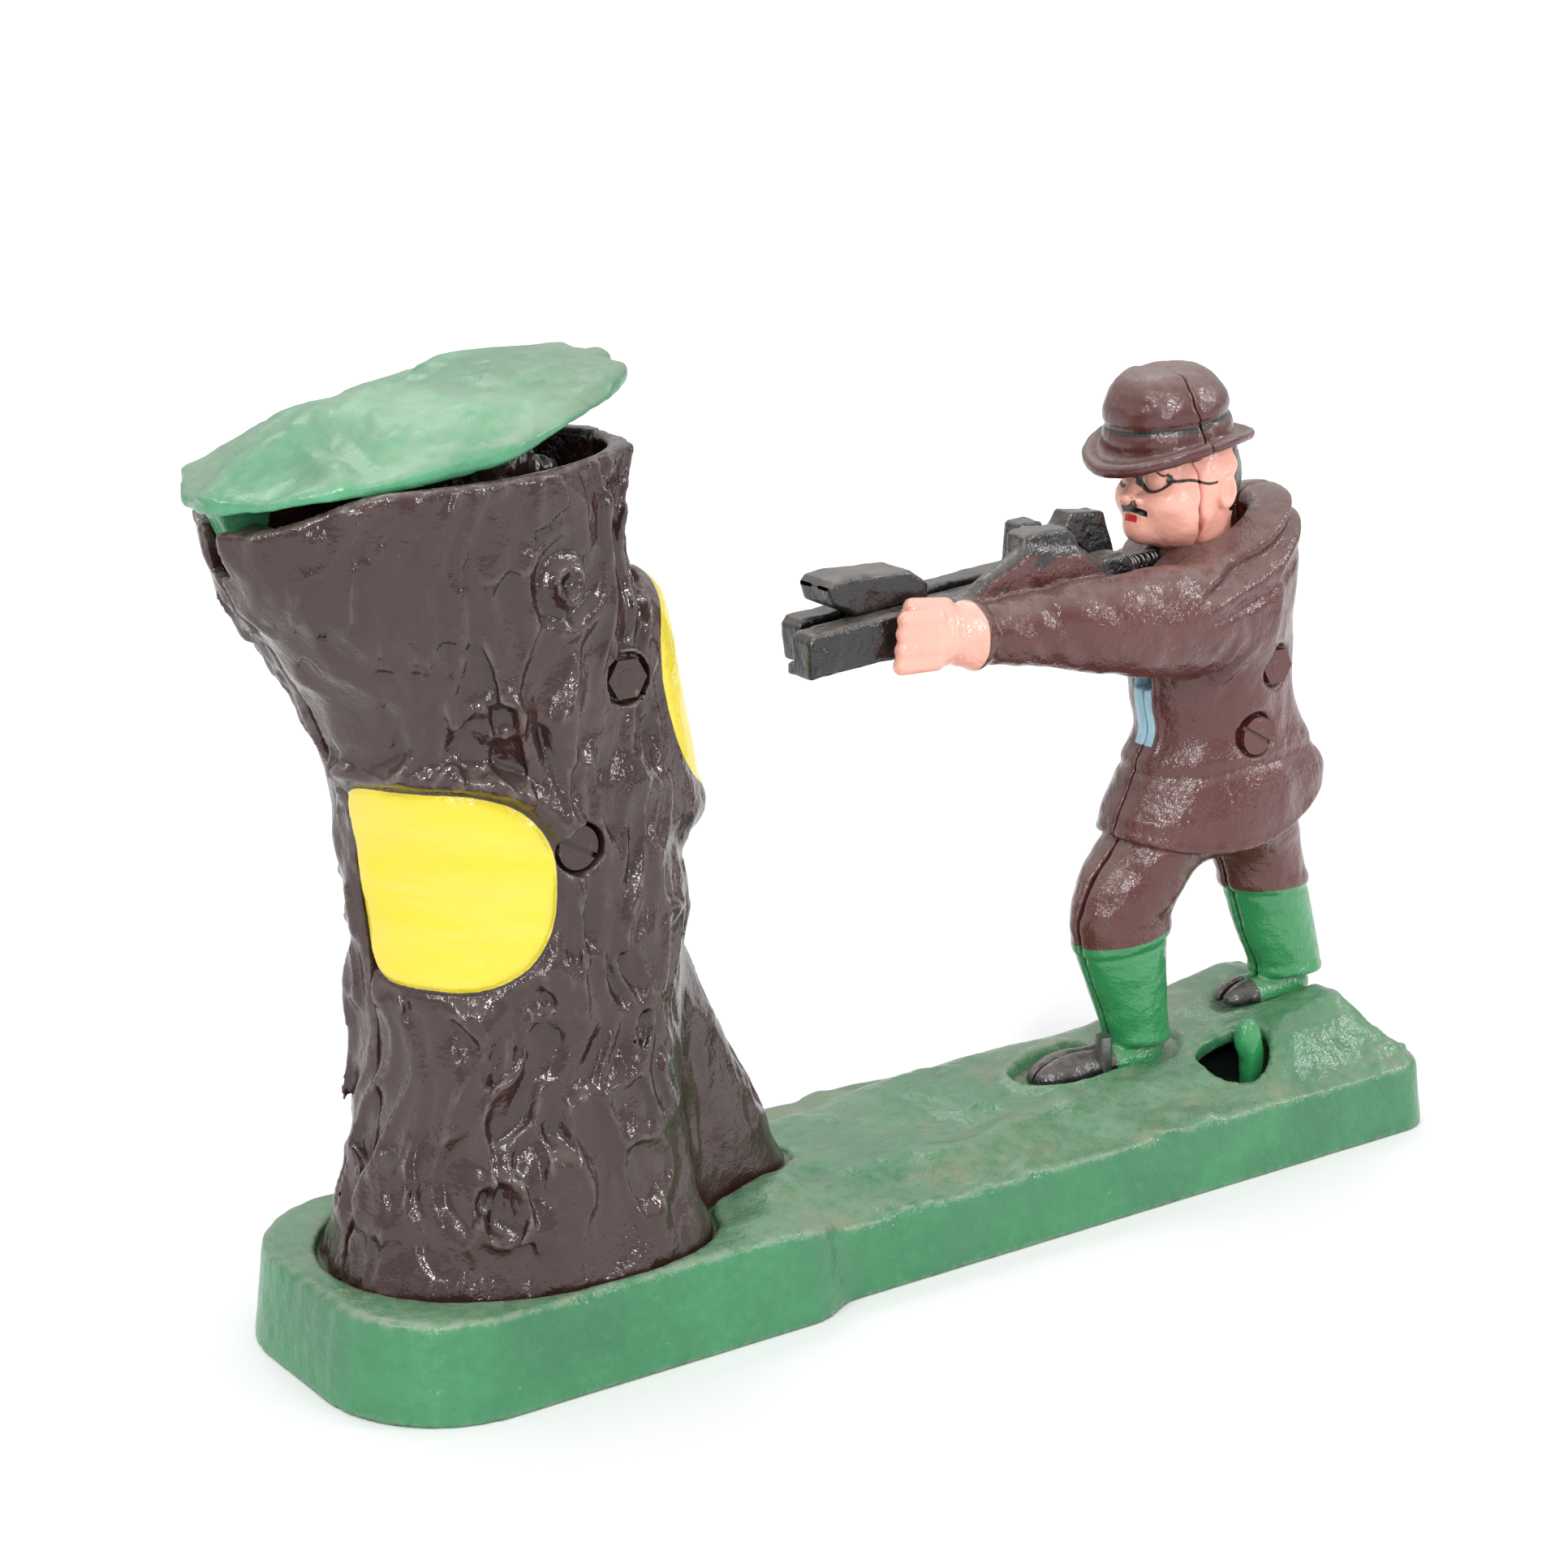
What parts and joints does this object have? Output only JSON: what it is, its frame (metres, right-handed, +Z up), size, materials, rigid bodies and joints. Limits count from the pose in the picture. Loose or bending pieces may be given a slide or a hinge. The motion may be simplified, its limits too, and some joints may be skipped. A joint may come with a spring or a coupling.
{
  "type": "mechanical bank",
  "caption": "Cast-iron mechanical bank: a rifleman shoots a coin into a hollow tree trunk while a bear rises and lifts the leafy lid.",
  "frame": {"origin": "centre of the whole object's box, on the surface that the base stands on", "axes": "+X along the base from the tree to the figure, +Y to the side of the rifleman's right hand, +Z up"},
  "size_m": [0.2662, 0.07, 0.1761],
  "materials": {
    "base_green": "thick glossy green enamel over cast iron, dusty on top",
    "bark_brown": "thick glossy dark brown enamel over cast iron",
    "leaf_green": "lighter satin green enamel over cast iron",
    "bear_brown": "dark brown enamel over cast iron",
    "coat_brown": "red-brown enamel over cast iron, dusty on top",
    "skin_pink": "pink enamel over cast iron",
    "rifle_black": "black enamel over cast iron",
    "raw_iron": "bare dark cast iron",
    "plain_steel": "plain steel, slightly oxidised",
    "spring_steel": "bright spring wire"
  },
  "bodies": {
    "root": {"base_casting": "base_green", "base_screws": "plain_steel", "trunk_near_half": "bark_brown", "trunk_far_half": "bark_brown", "trunk_screws": "bark_brown", "trunk_nuts": "bark_brown", "lid_hinge_pin": "plain_steel", "lift_lever_pin": "plain_steel", "bar_support_pins": "plain_steel", "thumb_lever_pin": "plain_steel", "return_spring": "spring_steel", "sear_pin": "plain_steel", "figure_near_half": "coat_brown", "figure_far_half": "coat_brown", "figure_screws": "coat_brown", "figure_nuts": "coat_brown", "head_pin": "plain_steel", "striker_spring": "spring_steel", "coin_trap_cover": "base_green"},
    "bear": {"bear": "bear_brown", "bear_push_rod": "plain_steel"},
    "lid": {"lid": "leaf_green"},
    "lift_lever": {"lift_lever": "raw_iron"},
    "connecting_bar": {"connecting_bar": "raw_iron"},
    "thumb_lever": {"thumb_lever": "base_green"},
    "sear_rod": {"sear_rod": "plain_steel"},
    "sear": {"sear": "coat_brown"},
    "head": {"head_front_half": "skin_pink", "head_back_half": "coat_brown", "head_rivet": "plain_steel"},
    "striker": {"striker": "rifle_black"},
    "trap_latch": {"trap_latch_bar": "plain_steel", "trap_screw": "plain_steel"}
  },
  "joints": [
    {"name": "bear_rise", "type": "slide", "parent": "root", "child": "bear", "axis": [0, 0, 1], "range_m": [0, 0.0178]},
    {"name": "lid_open", "type": "hinge", "parent": "root", "child": "lid", "pos_m": [-0.124, 0, 0.1505], "axis": [0, -1, 0], "range_deg": [0, 18.6]},
    {"name": "lift_lever_turn", "type": "hinge", "parent": "root", "child": "lift_lever", "pos_m": [-0.032, 0, 0.0188], "axis": [0, 1, 0], "range_deg": [0, 20]},
    {"name": "bar_slide", "type": "slide", "parent": "root", "child": "connecting_bar", "axis": [-1, 0, 0], "range_m": [0, 0.0029]},
    {"name": "thumb_press", "type": "hinge", "parent": "root", "child": "thumb_lever", "pos_m": [0.0925, -0.015, 0.004], "axis": [0, -1, 0], "range_deg": [0, 25.4], "stiffness_Nm_per_rad": 0.02, "deforming": ["return_spring"]},
    {"name": "sear_rod_lift", "type": "slide", "parent": "root", "child": "sear_rod", "axis": [0, 0, 1], "range_m": [0, 0.0029]},
    {"name": "sear_turn", "type": "hinge", "parent": "root", "child": "sear", "pos_m": [0.066, 0, 0.1165], "axis": [0, -1, 0], "range_deg": [0, 13.9]},
    {"name": "head_tilt", "type": "hinge", "parent": "root", "child": "head", "pos_m": [0.086, 0, 0.118], "axis": [0, 1, 0], "range_deg": [0, 8.2]},
    {"name": "striker_cock", "type": "slide", "parent": "root", "child": "striker", "axis": [0.9969, 0, 0.0785], "range_m": [0, 0.02], "stiffness_N_per_m": 60, "springref_m": -0.004},
    {"name": "trap_latch_turn", "type": "hinge", "parent": "root", "child": "trap_latch", "pos_m": [-0.076, 0, 0.0165], "axis": [0, 0, 1], "range_deg": [0, 90]}
  ],
  "couplings": [
    {"joint": "lid_open", "follows": "bear_rise", "rad_per_m": 17.9},
    {"joint": "lift_lever_turn", "follows": "bear_rise", "rad_per_m": 19.231},
    {"joint": "bar_slide", "follows": "bear_rise", "ratio": 0.15962},
    {"joint": "thumb_press", "follows": "bear_rise", "rad_per_m": 24.556},
    {"joint": "sear_rod_lift", "follows": "bear_rise", "ratio": 0.15962},
    {"joint": "sear_turn", "follows": "bear_rise", "rad_per_m": 13.301},
    {"joint": "head_tilt", "follows": "bear_rise", "rad_per_m": 7.84}
  ]
}
